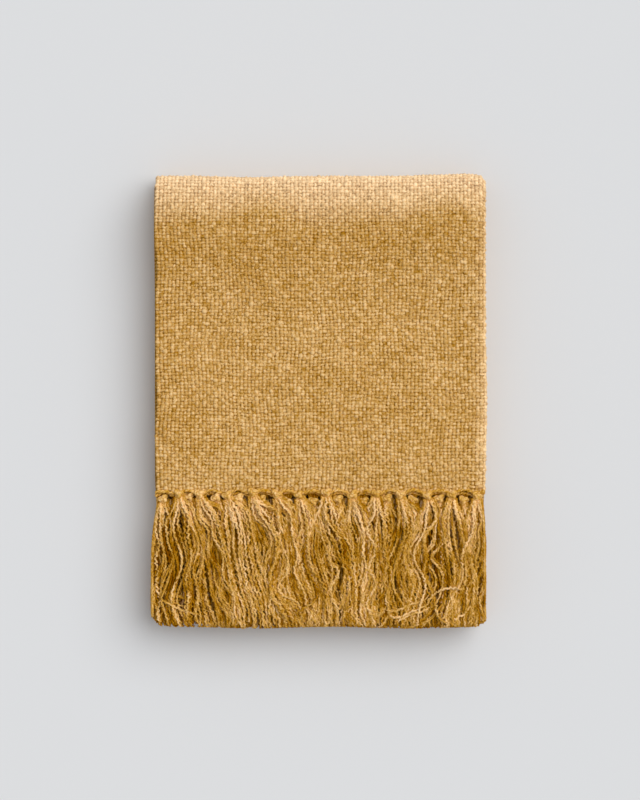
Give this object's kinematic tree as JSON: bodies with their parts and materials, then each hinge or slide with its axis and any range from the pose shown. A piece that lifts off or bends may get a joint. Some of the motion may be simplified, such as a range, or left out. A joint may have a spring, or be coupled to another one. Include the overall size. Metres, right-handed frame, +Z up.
{
  "type": "folded throw blanket",
  "caption": "Woven throw folded into a flat stack, with knotted tassels along the front edge.",
  "frame": {"origin": "middle of the folded throw's footprint, on the surface that it rests on", "axes": "+Z up out of the stack; +Y towards the rear folds, so the fringes point to -Y; +X towards the creases that close the panels' right edges, across the width"},
  "size_m": [0.325, 0.44, 0.0448],
  "materials": {
    "woven_cotton": "plain weave of slubby ochre cotton yarn, matte and soft",
    "fringe_yarn": "loose two-ply ochre cotton yarn, wavy, with soft fuzz"
  },
  "bodies": {
    "bottom": {"panel_bottom": "woven_cotton", "fold_bottom": "woven_cotton", "rear_tassels_layer_4": "fringe_yarn", "rear_tassels_layer_3": "fringe_yarn", "rear_tassels_layer_2": "fringe_yarn", "rear_tassels_layer_1": "fringe_yarn"},
    "lower": {"panel_lower": "woven_cotton", "fold_middle": "woven_cotton"},
    "upper": {"panel_upper": "woven_cotton", "fold_top": "woven_cotton"},
    "top": {"panel_top": "woven_cotton", "front_under_tassel_01": "fringe_yarn", "front_under_tassel_02": "fringe_yarn", "front_under_tassel_03": "fringe_yarn", "front_under_tassel_04": "fringe_yarn", "front_under_tassel_05": "fringe_yarn", "front_under_tassel_06": "fringe_yarn", "front_under_tassel_07": "fringe_yarn", "front_under_tassel_08": "fringe_yarn", "front_under_tassel_09": "fringe_yarn", "front_under_tassel_10": "fringe_yarn", "front_under_tassel_11": "fringe_yarn", "front_under_tassel_12": "fringe_yarn", "front_under_tassel_13": "fringe_yarn", "front_tassels_layer_2": "fringe_yarn", "front_tassels_layer_1": "fringe_yarn"},
    "front_fringe": {"front_tassel_01": "fringe_yarn", "front_tassel_02": "fringe_yarn", "front_tassel_03": "fringe_yarn", "front_tassel_04": "fringe_yarn", "front_tassel_05": "fringe_yarn", "front_tassel_06": "fringe_yarn", "front_tassel_07": "fringe_yarn", "front_tassel_08": "fringe_yarn", "front_tassel_09": "fringe_yarn", "front_tassel_10": "fringe_yarn", "front_tassel_11": "fringe_yarn", "front_tassel_12": "fringe_yarn", "front_tassel_13": "fringe_yarn"}
  },
  "joints": [
    {"name": "bottom_fold", "type": "hinge", "parent": "bottom", "child": "lower", "pos_m": [0, 0.2113, 0.0111], "axis": [-1, 0, 0], "range_deg": [0, 180], "deforming": ["fold_bottom"]},
    {"name": "middle_fold", "type": "hinge", "parent": "lower", "child": "upper", "pos_m": [0, -0.2113, 0.0224], "axis": [1, 0, 0], "range_deg": [0, 180], "deforming": ["fold_middle"]},
    {"name": "top_fold", "type": "hinge", "parent": "upper", "child": "top", "pos_m": [0, 0.2113, 0.0337], "axis": [-1, 0, 0], "range_deg": [0, 180], "deforming": ["fold_top"]},
    {"name": "fringe_turn", "type": "hinge", "parent": "top", "child": "front_fringe", "pos_m": [0, -0.09, 0.045], "axis": [1, 0, 0], "range_deg": [-180, 0]}
  ],
  "couplings": [
    {"joint": "middle_fold", "follows": "bottom_fold", "ratio": 1}
  ]
}
